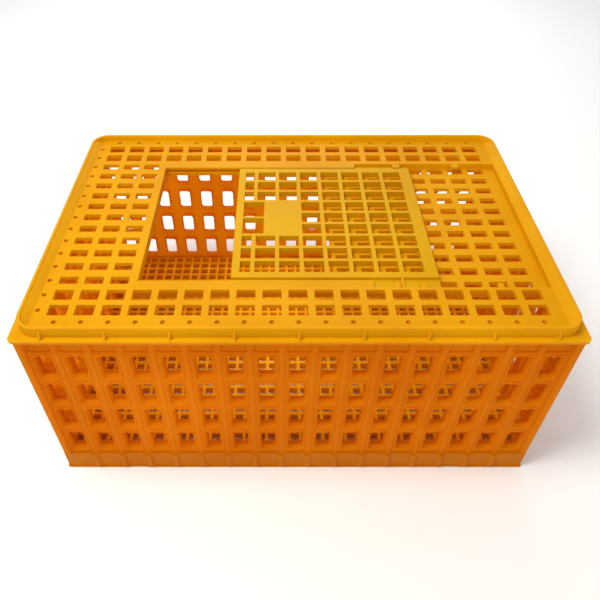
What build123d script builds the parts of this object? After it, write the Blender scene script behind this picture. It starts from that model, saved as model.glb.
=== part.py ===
from build123d import *

import os

os.makedirs("parts", exist_ok=True)

# Overall size, millimetres
LENGTH = 750.0
DEPTH = 505.0
HEIGHT = 330.0

# Cover levels
RIM_TOP = HEIGHT
COVER_TOP = 320.0
COVER_UNDER = 314.0
FLANGE_TOP = 313.0
FLANGE_UNDER = 309.0
LIP_UNDER = 316.0
TRACK_TOP = 310.0
TRACK_UNDER = 304.0

# Stacking rim and flange
RIM_INSET = 8.5
RIM_WALL = 5.0
RIM_ROUND = 1.8
RAMP_FOOT = 351.0
RIM_RADIUS = 28.0
FLANGE_RADIUS = 9.0
WEB_PITCH = 83.0
WEB_HEIGHT = 11.0
WEB_HALF = 1.25
WEB_TIP = 1.2
LONG_SIDE_WEBS = 4
SHORT_SIDE_WEBS = 2

# Cover lattice
COL_PITCH = 35.5
ROW_PITCH = 29.2
COLS = 19
ROWS = 15
ROW_SHIFT = 3.0
HOLE_X = 26.0
HOLE_Y_LONG = 19.4
HOLE_Y_SHORT = 14.8
HOLE_RADIUS = 1.5
EDGE_ROWS = 2
COLS_LEFT_OF_TRACK = 3
FIRST_RECESS_COL = 11
PEG_HOLE_D = 7.0
PEG_D = 6.0
PEG_LENGTH = 7.5
PEG_COL = 9.75
PEG_ROW_FRONT = -0.75
PEG_ROW_BACK = 14.79

# Loading opening, door track and lips
OPEN_LEFT = -223.5
OPEN_RIGHT = 51.5
OPEN_FRONT = -143.5
OPEN_BACK = 147.0
TRACK_LEFT = -230.0
TRACK_RIGHT = 352.0
TRACK_FRONT = -157.5
TRACK_BACK = 159.0
TRACK_SIDE = 3.0
LIP_END = 106.0
BACK_TABS = (179.0, 282.0)
BACK_TAB_HALF = 6.0
BACK_TAB_REACH = 11.0
FRONT_TABS = (138.0, 175.0, 282.0)
FRONT_TAB_HALF = 4.0
FRONT_TAB_REACH = 9.0
FINGER_X = 147.0
FINGER_HALF = 1.5

# Sliding door, as shown partly open
DOOR_LEFT = -94.0
DOOR_RIGHT = 200.0
DOOR_FRONT = -137.0
DOOR_BACK = 144.0
TONGUE_FRONT = -153.5
TONGUE_BACK = 155.0
TONGUE_UNDER = 310.4
TONGUE_TOP = 315.4
DOOR_CELL_X = 29.2
DOOR_CELL_Y = 23.6
DOOR_FIRST_COL = 7.69
DOOR_COLS = 7
DOOR_ROWS = 9
DOOR_FIRST_ROW = 3
DOOR_CHAMFER = 1.0
THUMB_ROWS = (3, 4, 5)
THUMB_COLS = 2
HALF_CELL_X = 15.0
FINGER_OPENING_REACH = 11.5
FINGER_BAR_HALF = 2.0
THROUGH = 40.0

# Walls
WALL_INSET = 5.0
FACE_INSET = 7.5
RIB_PITCH = 42.7
RIB_WIDTH = 9.0
RIB_PROUD = 1.7
BAND_RIB_PROUD = 3.0
BAND_RIB_WIDTH = 10.0
TOP_BAND_Z = 284.0
TOP_BAND_DEPTH = 2.0
TOP_BAND_TOP = 303.0
TOP_BAND_HALF = 16.0
PAD_PROUD = 1.0
PAD_X = 30.5
PAD_Z = 54.0
PAD_RADIUS = 8.0
PANEL = 3.5
COLLAR_DEPTH = 12.0
COLLAR_WALL = 2.5
LONG_WINDOWS = 17
SHORT_WINDOWS = 11
WINDOW_ROWS = 4
ROW_STEP = 60.0
FIRST_ROW_Z = 72.5
CLEAR_X = 21.0
CLEAR_Z = 39.0
FRAME_X = 26.5
FRAME_Z = 50.0
FRAME_DEPTH = 5.0
FRAME_RADIUS = 6.0
CLEAR_RADIUS = 4.5
COLLAR_RADIUS = 6.5
END_LAND = 9.0
TONGUE_BACK_FACE = -3.1
TONGUE_HEIGHT = 4.0
RETURN_THICK = 3.0
RETURN_REACH = 10.5
LEDGE_TOP = 308.7
LEDGE_THICK = 3.0
LEDGE_REACH = 27.5
FIT_GAP = 0.4
SEAT_GAP = 0.3
OVERLAP = 1.0

# Floor tray
SKIRT_HEIGHT = 38.0
SKIRT_INSET = 4.0
SKIRT_WALL = 3.0
STUB_PROUD = 3.0
FOOT_LIP = 1.5
FOOT_LIP_HEIGHT = 3.5
MESH_TOP = 34.0
MESH_THICK = 14.0
MESH_PITCH = 18.6
MESH_HOLE = 13.4
MESH_COLS = 39
MESH_ROWS = 26
STUB_HEIGHT = 32.0
NOTCH_X = 256.0
NOTCH_HALF = 15.0
NOTCH_HEIGHT = 2.2


def col_x(i):
    return (i - (COLS - 1) / 2) * COL_PITCH


def row_y(j):
    return ROW_SHIFT + (j - (ROWS - 1) / 2) * ROW_PITCH


def block(x0, x1, y0, y1, z0, z1):
    size = Box(x1 - x0, y1 - y0, z1 - z0)
    return Pos((x0 + x1) / 2, (y0 + y1) / 2, (z0 + z1) / 2) * size


def rect_wire(x, y, width, depth, radius):
    wire = RectangleRounded(width, depth, radius).wire()
    return Pos(x, y, 0) * wire


def pierced_plate(outline, holes, z0, z1):
    face = Face(outline, holes)
    return Pos(0, 0, z0) * Solid.extrude(face, Vector(0, 0, z1 - z0))


def is_long_row(j):
    return j < EDGE_ROWS or j >= ROWS - EDGE_ROWS


def cover_holes():
    wires = []
    for j in range(ROWS):
        for i in range(COLS):
            if is_long_row(j):
                wires.append(rect_wire(col_x(i), row_y(j), HOLE_X, HOLE_Y_LONG, HOLE_RADIUS))
            elif i < COLS_LEFT_OF_TRACK:
                wires.append(rect_wire(col_x(i), row_y(j), HOLE_X, HOLE_Y_SHORT, HOLE_RADIUS))
    for x, y in peg_points():
        wires.append(Pos(x, y, 0) * Wire.make_circle(PEG_HOLE_D / 2))
    return wires


def front_pegs():
    return [(col_x(i), row_y(PEG_ROW_FRONT)) for i in range(COLS)]


def back_pegs():
    return [(col_x(i), row_y(PEG_ROW_BACK)) for i in range(COLS)]


def left_pegs():
    return [(-PEG_COL * COL_PITCH, row_y(j)) for j in range(ROWS)]


def peg_points():
    return front_pegs() + back_pegs() + left_pegs()


def rim_web(angle, reach, along):
    """Triangular web between the flange and the rim's outer face."""
    foot = RIM_INSET - 1.5
    profile = Polyline((0, 0), (foot, 0), (WEB_TIP, WEB_HEIGHT), (0, WEB_HEIGHT), close=True)
    web = extrude(make_face(Plane.XZ * profile), WEB_HALF, both=True)
    return Rot(0, 0, angle) * Pos(reach, along, FLANGE_TOP) * web


def rim_webs():
    webs = []
    sunk = RIM_INSET + 0.2
    for k in range(-LONG_SIDE_WEBS, LONG_SIDE_WEBS + 1):
        for angle in (90, -90):
            webs.append(rim_web(angle, DEPTH / 2 - sunk, k * WEB_PITCH))
    for k in range(-SHORT_SIDE_WEBS, SHORT_SIDE_WEBS + 1):
        for angle in (0, 180):
            webs.append(rim_web(angle, LENGTH / 2 - sunk, k * WEB_PITCH))
    return webs


def rim_ramp(side):
    """Long slope from the rim's top down to the plate, along one short side."""
    top = LENGTH / 2 - RIM_INSET - RIM_WALL
    profile = Polyline(
        (RAMP_FOOT, COVER_TOP), (top, RIM_TOP - RIM_ROUND), (top + 1, RIM_TOP - RIM_ROUND),
        (top + 1, COVER_UNDER), (RAMP_FOOT, COVER_UNDER), close=True)
    ramp = extrude(make_face(Plane.XZ * profile), DEPTH / 2 - RIM_INSET - 1, both=True)
    within = RectangleRounded(LENGTH - 2 * RIM_INSET - 2, DEPTH - 2 * RIM_INSET - 2, RIM_RADIUS - 1)
    ramp = ramp & (Pos(0, 0, COVER_UNDER - 1) * extrude(within, RIM_TOP - COVER_UNDER))
    return ramp if side > 0 else Rot(0, 0, 180) * ramp


def track_tabs():
    """Small tabs that reach over the door's edges, and one thin finger at the front."""
    tabs = []
    for x in BACK_TABS:
        tabs.append(block(
            x - BACK_TAB_HALF, x + BACK_TAB_HALF,
            TRACK_BACK - BACK_TAB_REACH, TRACK_BACK + OVERLAP, LIP_UNDER, COVER_TOP))
    for x in FRONT_TABS:
        tabs.append(block(
            x - FRONT_TAB_HALF, x + FRONT_TAB_HALF,
            TRACK_FRONT - OVERLAP, TRACK_FRONT + FRONT_TAB_REACH, LIP_UNDER, COVER_TOP))
    tabs.append(block(
        FINGER_X - FINGER_HALF, FINGER_X + FINGER_HALF,
        TRACK_FRONT - OVERLAP, DOOR_FRONT - OVERLAP, LIP_UNDER, COVER_TOP))
    return tabs


def build_cover():
    rim_x = LENGTH - 2 * RIM_INSET
    rim_y = DEPTH - 2 * RIM_INSET
    in_x = rim_x - 2 * RIM_WALL
    in_y = rim_y - 2 * RIM_WALL
    in_r = RIM_RADIUS - RIM_WALL
    inner = RectangleRounded(in_x, in_y, in_r).wire()
    flange_edge = RectangleRounded(LENGTH, DEPTH, FLANGE_RADIUS).wire()
    flange = pierced_plate(flange_edge, [inner], FLANGE_UNDER, FLANGE_TOP)
    rim_edge = RectangleRounded(rim_x, rim_y, RIM_RADIUS).wire()
    rim = pierced_plate(rim_edge, [inner], FLANGE_UNDER, RIM_TOP)
    rim = fillet(rim.faces().sort_by(Axis.Z)[-1].edges(), RIM_ROUND)
    plate = pierced_plate(rim_edge, cover_holes(), COVER_UNDER, COVER_TOP)
    track = block(
        TRACK_LEFT - TRACK_SIDE, LENGTH / 2 - RIM_INSET - 1,
        TRACK_FRONT - TRACK_SIDE, TRACK_BACK + TRACK_SIDE, TRACK_UNDER, COVER_TOP)
    under_track = block(
        TRACK_RIGHT + TRACK_SIDE, LENGTH / 2,
        TRACK_FRONT - 10, TRACK_BACK + 10, TRACK_UNDER - 1, COVER_UNDER)
    cover = flange + rim + plate + (track - under_track)
    pocket = block(TRACK_LEFT, TRACK_RIGHT, TRACK_FRONT, TRACK_BACK, TRACK_TOP, LIP_UNDER)
    gap = block(OPEN_LEFT, LIP_END, OPEN_FRONT, OPEN_BACK, LIP_UNDER, COVER_TOP)
    wide_gap = block(LIP_END, TRACK_RIGHT, TRACK_FRONT, TRACK_BACK, LIP_UNDER, COVER_TOP)
    opening = block(OPEN_LEFT, OPEN_RIGHT, OPEN_FRONT, OPEN_BACK, TRACK_UNDER, TRACK_TOP)
    cover = cover - [pocket, gap, wide_gap, opening]
    slots = []
    for j in range(EDGE_ROWS, ROWS - EDGE_ROWS):
        for i in range(FIRST_RECESS_COL, COLS):
            x = col_x(i)
            y = row_y(j)
            slots.append(block(
                x - HOLE_X / 2, x + HOLE_X / 2,
                y - HOLE_Y_SHORT / 2, y + HOLE_Y_SHORT / 2, TRACK_UNDER, TRACK_TOP))
    cover = cover - slots
    cover = cover + track_tabs() + rim_webs() + [rim_ramp(-1), rim_ramp(1)]
    return cover


def build_door():
    tongue = block(
        DOOR_LEFT, DOOR_RIGHT, TONGUE_FRONT, TONGUE_BACK, TONGUE_UNDER, TONGUE_TOP)
    raised = block(DOOR_LEFT, DOOR_RIGHT, DOOR_FRONT, DOOR_BACK, TONGUE_TOP, COVER_TOP)
    raised = chamfer(raised.faces().sort_by(Axis.Z)[-1].edges(), DOOR_CHAMFER)
    door = tongue + raised
    cuts = []
    bottom = TONGUE_UNDER - THROUGH / 2
    top = TONGUE_UNDER + THROUGH / 2
    first_left = col_x(DOOR_FIRST_COL) - DOOR_CELL_X / 2
    half_left = first_left - (COL_PITCH - DOOR_CELL_X) - HALF_CELL_X
    plate_left = first_left + FINGER_OPENING_REACH
    for r in range(DOOR_ROWS):
        y = row_y(DOOR_FIRST_ROW + r)
        y0 = y - DOOR_CELL_Y / 2
        y1 = y + DOOR_CELL_Y / 2
        in_plate = r in THUMB_ROWS
        if not in_plate:
            cuts.append(block(half_left, half_left + HALF_CELL_X, y0, y1, bottom, top))
        for c in range(DOOR_COLS):
            x0 = first_left + c * COL_PITCH
            x1 = x0 + DOOR_CELL_X
            if in_plate and c < THUMB_COLS:
                continue
            cuts.append(block(x0, x1, y0, y1, bottom, top))
    low = row_y(DOOR_FIRST_ROW + THUMB_ROWS[0]) - DOOR_CELL_Y / 2
    mid = row_y(DOOR_FIRST_ROW + THUMB_ROWS[1])
    high = row_y(DOOR_FIRST_ROW + THUMB_ROWS[2]) + DOOR_CELL_Y / 2
    cuts.append(block(half_left, plate_left, low, mid - FINGER_BAR_HALF, bottom, top))
    cuts.append(block(half_left, plate_left, mid + FINGER_BAR_HALF, high, bottom, top))
    return door - cuts


def window_cutter():
    outer = Pos(0, 0, PAD_PROUD) * RectangleRounded(FRAME_X, FRAME_Z, FRAME_RADIUS)
    inner = Pos(0, 0, -FRAME_DEPTH) * RectangleRounded(CLEAR_X, CLEAR_Z, CLEAR_RADIUS)
    funnel = loft([outer.face(), inner.face()])
    bore = extrude(RectangleRounded(CLEAR_X, CLEAR_Z, CLEAR_RADIUS), COLLAR_DEPTH)
    return funnel + Pos(0, 0, -COLLAR_DEPTH - 1) * bore


def window_collar():
    width = CLEAR_X + 2 * COLLAR_WALL
    height = CLEAR_Z + 2 * COLLAR_WALL
    collar = extrude(RectangleRounded(width, height, COLLAR_RADIUS), COLLAR_DEPTH - 1)
    return Pos(0, 0, -COLLAR_DEPTH) * collar


def rib_solid(height, width, proud):
    half = width / 2
    arc = ThreePointArc((-half, 0), (0, proud), (half, 0))
    foot = Polyline((half, 0), (half, -1), (-half, -1), (-half, 0))
    return extrude(make_face(arc + foot), height)


def wall_panel(span, windows):
    """Wall lying flat: local x along the wall, y up, z outward from the panel face."""
    low = SKIRT_HEIGHT + SEAT_GAP
    panel = block(-span / 2, span / 2, low, LEDGE_TOP, -PANEL, 0)
    cutter = window_cutter()
    collar = window_collar()
    pad_face = RectangleRounded(PAD_X, PAD_Z, PAD_RADIUS)
    pad = Pos(0, 0, -OVERLAP) * extrude(pad_face, PAD_PROUD + OVERLAP)
    cuts = []
    collars = []
    for r in range(WINDOW_ROWS):
        for k in range(windows):
            place = Pos((k - (windows - 1) / 2) * RIB_PITCH, FIRST_ROW_Z + r * ROW_STEP, 0)
            cuts.append(place * cutter)
            collars.append(place * collar)
            collars.append(place * pad)
    for k in range(windows):
        x = (k - (windows - 1) / 2) * RIB_PITCH
        cuts.append(block(
            x - TOP_BAND_HALF, x + TOP_BAND_HALF, TOP_BAND_Z, TOP_BAND_TOP, -TOP_BAND_DEPTH, OVERLAP))
    panel = (panel + collars) - cuts
    ribs = []
    for k in range(windows - 1):
        x = (k - (windows - 2) / 2) * RIB_PITCH
        turn = Rot(-90, 0, 0) * Rot(0, 0, 180)
        rib = rib_solid(LEDGE_TOP - low, RIB_WIDTH, RIB_PROUD)
        stub = rib_solid(LEDGE_TOP - TOP_BAND_Z, BAND_RIB_WIDTH, BAND_RIB_PROUD)
        ribs.append(Pos(x, low, 0) * turn * rib)
        ribs.append(Pos(x, TOP_BAND_Z, 0) * turn * stub)
    tongue = block(
        -span / 2 + 8, span / 2 - 8, MESH_TOP + FIT_GAP, low + TONGUE_HEIGHT,
        TONGUE_BACK_FACE, 0.1)
    ledge = block(
        -span / 2 + 10, span / 2 - 10, LEDGE_TOP - LEDGE_THICK, LEDGE_TOP,
        -PANEL - LEDGE_REACH, -PANEL + 0.5)
    return panel + ribs + [tongue, ledge]


def stand_up(flat, angle, face):
    """Turn a flat wall upright and carry its face to the given distance from the middle."""
    upright = Rot(90, 0, 0) * flat
    return Rot(0, 0, angle) * Pos(0, -face, 0) * upright


def pegs(points):
    middle = LEDGE_TOP - OVERLAP + PEG_LENGTH / 2
    return [Pos(x, y, middle) * Cylinder(PEG_D / 2, PEG_LENGTH) for x, y in points]


def corner_returns(side):
    inner_x = LENGTH / 2 - FACE_INSET - PANEL - FIT_GAP
    inner_y = DEPTH / 2 - FACE_INSET - PANEL
    posts = []
    for sx in (-1, 1):
        x0, x1 = sorted((sx * inner_x, sx * (inner_x - RETURN_THICK)))
        y0, y1 = sorted((side * (inner_y + OVERLAP), side * (inner_y - RETURN_REACH)))
        posts.append(block(
            x0, x1, y0, y1, SKIRT_HEIGHT + SEAT_GAP, LEDGE_TOP - LEDGE_THICK - OVERLAP))
    return posts


def build_long_wall(angle, points, side):
    span = LENGTH - 2 * WALL_INSET
    flat = wall_panel(span, LONG_WINDOWS)
    end_land = []
    for sx in (-1, 1):
        x0, x1 = sorted((sx * span / 2, sx * (span / 2 - END_LAND)))
        end_land.append(block(
            x0, x1, SKIRT_HEIGHT + SEAT_GAP, LEDGE_TOP, -OVERLAP, FACE_INSET - WALL_INSET))
    wall = stand_up(flat + end_land, angle, DEPTH / 2 - FACE_INSET)
    return wall + pegs(points) + corner_returns(side)


def build_short_wall(angle, points, keep_ledge):
    clear = DEPTH / 2 - FACE_INSET - PANEL - FIT_GAP
    wall = wall_panel(2 * clear, SHORT_WINDOWS)
    wall = stand_up(wall, angle, LENGTH / 2 - FACE_INSET)
    sx = 1 if angle > 0 else -1
    x0, x1 = sorted((sx * 300.0, sx * 363.9))
    corner = clear - LEDGE_REACH - 0.6
    cuts = [
        block(x0, x1, -clear - 1, -corner, LEDGE_TOP - 6, LEDGE_TOP + 1),
        block(x0, x1, corner, clear + 1, LEDGE_TOP - 6, LEDGE_TOP + 1)]
    if not keep_ledge:
        cuts.append(block(
            x0, x1, TRACK_FRONT - TRACK_SIDE - 2, TRACK_BACK + TRACK_SIDE + 2,
            LEDGE_TOP - 6, LEDGE_TOP + 1))
    return (wall - cuts) + pegs(points)


def build_floor():
    out_x = LENGTH - 2 * SKIRT_INSET
    out_y = DEPTH - 2 * SKIRT_INSET
    outer = RectangleRounded(out_x, out_y, 2.0).wire()
    inner = RectangleRounded(out_x - 2 * SKIRT_WALL, out_y - 2 * SKIRT_WALL, 1.0).wire()
    skirt = pierced_plate(outer, [inner], 0, SKIRT_HEIGHT)
    foot_edge = RectangleRounded(out_x + 2 * FOOT_LIP, out_y + 2 * FOOT_LIP, 3.0).wire()
    foot = pierced_plate(foot_edge, [inner], 0, FOOT_LIP_HEIGHT)
    holes = []
    for j in range(MESH_ROWS):
        for i in range(MESH_COLS):
            x = (i - (MESH_COLS - 1) / 2) * MESH_PITCH
            y = (j - (MESH_ROWS - 1) / 2) * MESH_PITCH
            holes.append(Pos(x, y, 0) * Rectangle(MESH_HOLE, MESH_HOLE).wire())
    sheet_edge = RectangleRounded(out_x - 1, out_y - 1, 1.0).wire()
    sheet = pierced_plate(sheet_edge, holes, MESH_TOP - MESH_THICK, MESH_TOP)
    stubs = []
    stub = rib_solid(STUB_HEIGHT, BAND_RIB_WIDTH, STUB_PROUD)
    for k in range(LONG_WINDOWS - 1):
        x = (k - (LONG_WINDOWS - 2) / 2) * RIB_PITCH
        for turn, sy in ((180, -1), (0, 1)):
            stubs.append(Pos(x, sy * out_y / 2, FOOT_LIP_HEIGHT) * Rot(0, 0, turn) * stub)
    for k in range(SHORT_WINDOWS - 1):
        y = (k - (SHORT_WINDOWS - 2) / 2) * RIB_PITCH
        for turn, sx in ((90, -1), (-90, 1)):
            stubs.append(Pos(sx * out_x / 2, y, 3.5) * Rot(0, 0, turn) * stub)
    notches = []
    for x in (-NOTCH_X, NOTCH_X):
        notches.append(block(
            x - NOTCH_HALF, x + NOTCH_HALF, -DEPTH / 2, DEPTH / 2, -OVERLAP, NOTCH_HEIGHT))
    return (skirt + foot + sheet + stubs) - notches


def save(shape, name):
    solid = shape.solids()[0] if len(shape.solids()) == 1 else Compound(shape.solids())
    solid.label = name
    export_step(solid, os.path.join("parts", name + ".step"))


save(build_cover(), "top_cover")
save(build_door(), "sliding_door")
save(build_long_wall(0, front_pegs(), -1), "front_wall")
save(build_long_wall(180, back_pegs(), 1), "back_wall")
save(build_short_wall(-90, left_pegs(), True), "left_wall")
save(build_short_wall(90, [], False), "right_wall")
save(build_floor(), "floor_tray")
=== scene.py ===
"""Poultry transport crate: plastics, studio floor, lights and camera."""
import math

import bpy
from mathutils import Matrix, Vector

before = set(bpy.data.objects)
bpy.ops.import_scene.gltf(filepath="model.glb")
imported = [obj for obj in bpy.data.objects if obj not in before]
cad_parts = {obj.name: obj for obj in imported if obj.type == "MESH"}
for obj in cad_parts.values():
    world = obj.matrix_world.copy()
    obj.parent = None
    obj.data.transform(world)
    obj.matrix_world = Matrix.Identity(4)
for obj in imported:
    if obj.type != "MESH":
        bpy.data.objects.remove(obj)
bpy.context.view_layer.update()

# ---------------------------------------------------------------- plastics

DRIFT_SCALE = 7.0
DRIFT_DETAIL = 3.0
DRIFT_STOPS = (0.3, 0.5, 0.7)
GLOSS_SCALE = 60.0
GLOSS_DETAIL = 4.0
WAVE_SCALE = 28.0
WAVE_DETAIL = 2.0
GRAIN_SCALE = 900.0
GRAIN_DETAIL = 3.0
PLASTIC_IOR = 1.5
GLOSS_BELOW = 0.07
GLOSS_ABOVE = 0.09
WAVE_STRENGTH = 0.25
WAVE_HEIGHT = 0.0012
GRAIN_STRENGTH = 0.25
GRAIN_HEIGHT = 0.0002
SKIRT_X = 0.3675
SKIRT_Y = 0.2450
# Painted shade multiplied onto the tray's outer skirt.
SKIRT_PAINTED_SHADE = (0.58, 0.36, 0.40, 1.0)
EDGE_ROUNDING = 0.0005
EDGE_ANGLE = math.radians(40.0)
EDGE_SEGMENTS = 2


def new_material(name):
    mat = bpy.data.materials.new(name)
    mat.use_nodes = True
    return mat, mat.node_tree.nodes, mat.node_tree.links


def noise(nodes, links, coords, scale, detail):
    """Noise value on the given coordinates."""
    tex = nodes.new("ShaderNodeTexNoise")
    tex.inputs["Scale"].default_value = scale
    tex.inputs["Detail"].default_value = detail
    links.new(coords, tex.inputs["Vector"])
    return tex.outputs["Fac"]


def ramp(nodes, links, value, stops):
    """Colour ramp with one element for each (position, colour) pair."""
    stops = list(stops)
    node = nodes.new("ShaderNodeValToRGB")
    elements = node.color_ramp.elements
    while len(elements) < len(stops):
        elements.new(0.5)
    for element, (at, colour) in zip(elements, stops):
        element.position = at
        element.color = (*colour, 1.0)
    links.new(value, node.inputs["Fac"])
    return node.outputs["Color"]


def uneven_gloss(nodes, links, coords, shader, roughness):
    """Let the roughness wander a little around its mean."""
    spread = nodes.new("ShaderNodeMapRange")
    spread.inputs["To Min"].default_value = roughness - GLOSS_BELOW
    spread.inputs["To Max"].default_value = roughness + GLOSS_ABOVE
    links.new(noise(nodes, links, coords, GLOSS_SCALE, GLOSS_DETAIL), spread.inputs["Value"])
    links.new(spread.outputs["Result"], shader.inputs["Roughness"])


def bump(nodes, links, height, strength, distance):
    node = nodes.new("ShaderNodeBump")
    node.inputs["Strength"].default_value = strength
    node.inputs["Distance"].default_value = distance
    links.new(height, node.inputs["Height"])
    return node


def beyond(nodes, links, value, edge):
    """1 where the coordinate's size is above the edge, else 0."""
    size = nodes.new("ShaderNodeMath")
    size.operation = "ABSOLUTE"
    links.new(value, size.inputs[0])
    outer = nodes.new("ShaderNodeMath")
    outer.operation = "GREATER_THAN"
    outer.inputs[1].default_value = edge
    links.new(size.outputs["Value"], outer.inputs[0])
    return outer.outputs["Value"]


def skirt_painted_shade(nodes, links, coords, colour):
    """Painted shade: deepen the colour on the tray's outer skirt, leaving the mesh inside it
    as it is.
    """
    split = nodes.new("ShaderNodeSeparateXYZ")
    links.new(coords, split.inputs["Vector"])
    skirt_shade_mask = nodes.new("ShaderNodeMath")
    skirt_shade_mask.operation = "MAXIMUM"
    links.new(beyond(nodes, links, split.outputs["X"], SKIRT_X), skirt_shade_mask.inputs[0])
    links.new(beyond(nodes, links, split.outputs["Y"], SKIRT_Y), skirt_shade_mask.inputs[1])
    shade_multiply = nodes.new("ShaderNodeMix")
    shade_multiply.data_type = "RGBA"
    shade_multiply.blend_type = "MULTIPLY"
    base, painted_shade_colour = [s for s in shade_multiply.inputs if s.type == "RGBA"]
    painted_shade_colour.default_value = SKIRT_PAINTED_SHADE
    links.new(skirt_shade_mask.outputs["Value"], shade_multiply.inputs["Factor"])
    links.new(colour, base)
    return [s for s in shade_multiply.outputs if s.type == "RGBA"][0]


def moulded_plastic(name, dark, mid, light, roughness, specular, through, skirt=False):
    """Satin polyethylene: slow colour drift, flow marks, fine grain, light passing through."""
    mat, nodes, links = new_material(name)
    shader = nodes["Principled BSDF"]
    coords = nodes.new("ShaderNodeTexCoord").outputs["Object"]
    drift = noise(nodes, links, coords, DRIFT_SCALE, DRIFT_DETAIL)
    colour = ramp(nodes, links, drift, zip(DRIFT_STOPS, (dark, mid, light)))
    # Painted shade on the outer skirt of the tray.
    if skirt:
        colour = skirt_painted_shade(nodes, links, coords, colour)
    links.new(colour, shader.inputs["Base Color"])
    uneven_gloss(nodes, links, coords, shader, roughness)
    shader.inputs["IOR"].default_value = PLASTIC_IOR
    shader.inputs["Specular IOR Level"].default_value = specular
    wave = noise(nodes, links, coords, WAVE_SCALE, WAVE_DETAIL)
    coarse = bump(nodes, links, wave, WAVE_STRENGTH, WAVE_HEIGHT)
    grain = noise(nodes, links, coords, GRAIN_SCALE, GRAIN_DETAIL)
    fine = bump(nodes, links, grain, GRAIN_STRENGTH, GRAIN_HEIGHT)
    links.new(coarse.outputs["Normal"], fine.inputs["Normal"])
    links.new(fine.outputs["Normal"], shader.inputs["Normal"])

    # Light that enters the plastic is scattered once and leaves by the far face.
    glow = nodes.new("ShaderNodeBsdfTranslucent")
    links.new(colour, glow.inputs["Color"])
    enter = nodes.new("ShaderNodeMixShader")
    enter.inputs["Fac"].default_value = through
    links.new(shader.outputs["BSDF"], enter.inputs[1])
    links.new(glow.outputs["BSDF"], enter.inputs[2])
    clear = nodes.new("ShaderNodeBsdfTransparent")
    leave = nodes.new("ShaderNodeMixShader")
    links.new(nodes.new("ShaderNodeNewGeometry").outputs["Backfacing"], leave.inputs["Fac"])
    links.new(enter.outputs["Shader"], leave.inputs[1])
    links.new(clear.outputs["BSDF"], leave.inputs[2])
    links.new(leave.outputs["Shader"], nodes["Material Output"].inputs["Surface"])
    return mat


cover_plastic = moulded_plastic(
    "cover_plastic", (0.71, 0.33, 0.001), (0.76, 0.37, 0.002), (0.80, 0.41, 0.003),
    roughness=0.42, specular=0.07, through=0.28)
# Wall colour is painted shade: the same plastic as the cover, given a deeper orange to stand
# in for the shade on the upright walls, inside and out.
wall_plastic_painted_shade = moulded_plastic(
    "wall_plastic_painted_shade", (0.79, 0.23, 0.001), (0.83, 0.255, 0.001), (0.86, 0.28, 0.002),
    roughness=0.45, specular=0.04, through=0.42)
# Tray colour is painted light: lifted above the other parts to stand in for the light falling
# on the floor mesh inside the crate; its outer skirt is darkened again as painted shade.
floor_plastic_painted_light_and_shade = moulded_plastic(
    "floor_plastic_painted_light_and_shade", (0.94, 0.42, 0.002), (0.96, 0.46, 0.003), (0.98, 0.50, 0.004),
    roughness=0.45, specular=0.05, through=0.05, skirt=True)
door_plastic = moulded_plastic(
    "door_plastic", (0.60, 0.30, 0.001), (0.64, 0.34, 0.001), (0.68, 0.38, 0.002),
    roughness=0.40, specular=0.06, through=0.14)

LOOKS = {
    "top_cover": cover_plastic,
    "sliding_door": door_plastic,
    "front_wall": wall_plastic_painted_shade,
    "back_wall": wall_plastic_painted_shade,
    "left_wall": wall_plastic_painted_shade,
    "right_wall": wall_plastic_painted_shade,
    "floor_tray": floor_plastic_painted_light_and_shade,
}

for node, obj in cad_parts.items():
    obj.data.materials.clear()
    obj.data.materials.append(LOOKS[node])
    # Rounds next to nothing: the loaded meshes are split along the CAD's edges.
    rounding = obj.modifiers.new("edge_rounding", "BEVEL")
    rounding.width = EDGE_ROUNDING
    rounding.segments = EDGE_SEGMENTS
    rounding.limit_method = "ANGLE"
    rounding.angle_limit = EDGE_ANGLE

# ---------------------------------------------------------------- floor and light

FLOOR_HALF = 6.0
FLOOR_DROP = 0.0005
FLOOR_WHITE = (0.95, 0.95, 0.95, 1.0)
FLOOR_ROUGHNESS = 0.8
SKY_WHITE = (1.0, 1.0, 1.0, 1.0)
SKY_STRENGTH = 0.5

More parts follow.
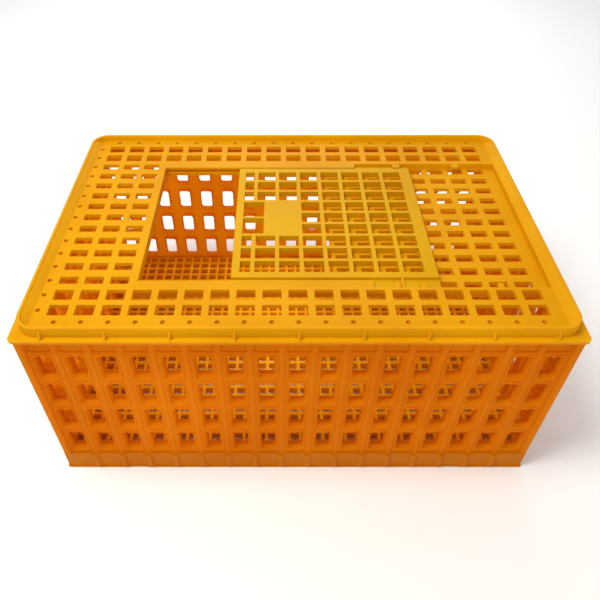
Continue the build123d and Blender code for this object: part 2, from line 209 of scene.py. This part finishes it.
h = FLOOR_HALF
floor_mesh = bpy.data.meshes.new("studio_floor")
floor_mesh.from_pydata([(-h, -h, 0), (h, -h, 0), (h, h, 0), (-h, h, 0)], [], [(0, 1, 2, 3)])
studio_floor = bpy.data.objects.new("studio_floor", floor_mesh)
bpy.context.scene.collection.objects.link(studio_floor)
studio_floor.location.z = -FLOOR_DROP
floor_mat, floor_nodes, floor_links = new_material("studio_floor")
floor_nodes["Principled BSDF"].inputs["Base Color"].default_value = FLOOR_WHITE
floor_nodes["Principled BSDF"].inputs["Roughness"].default_value = FLOOR_ROUGHNESS
floor_mesh.materials.append(floor_mat)

world = bpy.data.worlds.new("studio")
bpy.context.scene.world = world
world.use_nodes = True
sky = world.node_tree.nodes["Background"]
sky.inputs["Color"].default_value = SKY_WHITE
sky.inputs["Strength"].default_value = SKY_STRENGTH


def area_light(name, place, target, size, power, colour):
    data = bpy.data.lights.new(name, "AREA")
    data.shape = "DISK"
    data.size = size
    data.energy = power
    data.color = colour
    lamp = bpy.data.objects.new(name, data)
    lamp.location = place
    aim = Vector(target) - Vector(place)
    lamp.rotation_euler = aim.to_track_quat("-Z", "Y").to_euler()
    bpy.context.scene.collection.objects.link(lamp)


area_light(
    "key", place=(-0.95, -0.45, 2.2), target=(0, 0, 0.25),
    size=1.0, power=41.0, colour=(1.0, 0.98, 0.92))
area_light(
    "backdrop", place=(0.0, 2.1, 1.7), target=(0, 1.2, 0),
    size=1.6, power=22.0, colour=(1.0, 1.0, 1.0))
area_light(
    "front_fill", place=(0.2, -2.2, 0.9), target=(0, 0, 0.15),
    size=1.2, power=6.0, colour=(1.0, 0.74, 0.5))

# ---------------------------------------------------------------- camera

FOCAL_PX = 589.6
PICTURE_PX = 600.0
SENSOR_WIDTH = 36.0
CAMERA_TILT = math.radians(44.61)
CAMERA_PLACE = (-0.0262, -0.7489, 0.8788)
CAMERA_SHIFT_X = 0.0353
NEAR_CLIP = 0.05

camera_data = bpy.data.cameras.new("camera")
camera_data.sensor_width = SENSOR_WIDTH
camera_data.lens = FOCAL_PX / PICTURE_PX * SENSOR_WIDTH
camera_data.shift_x = CAMERA_SHIFT_X
camera_data.clip_start = NEAR_CLIP
camera = bpy.data.objects.new("camera", camera_data)
camera.location = CAMERA_PLACE
camera.rotation_euler = (math.pi / 2 - CAMERA_TILT, 0, 0)
bpy.context.scene.collection.objects.link(camera)
bpy.context.scene.camera = camera
bpy.context.scene.view_settings.view_transform = "Standard"
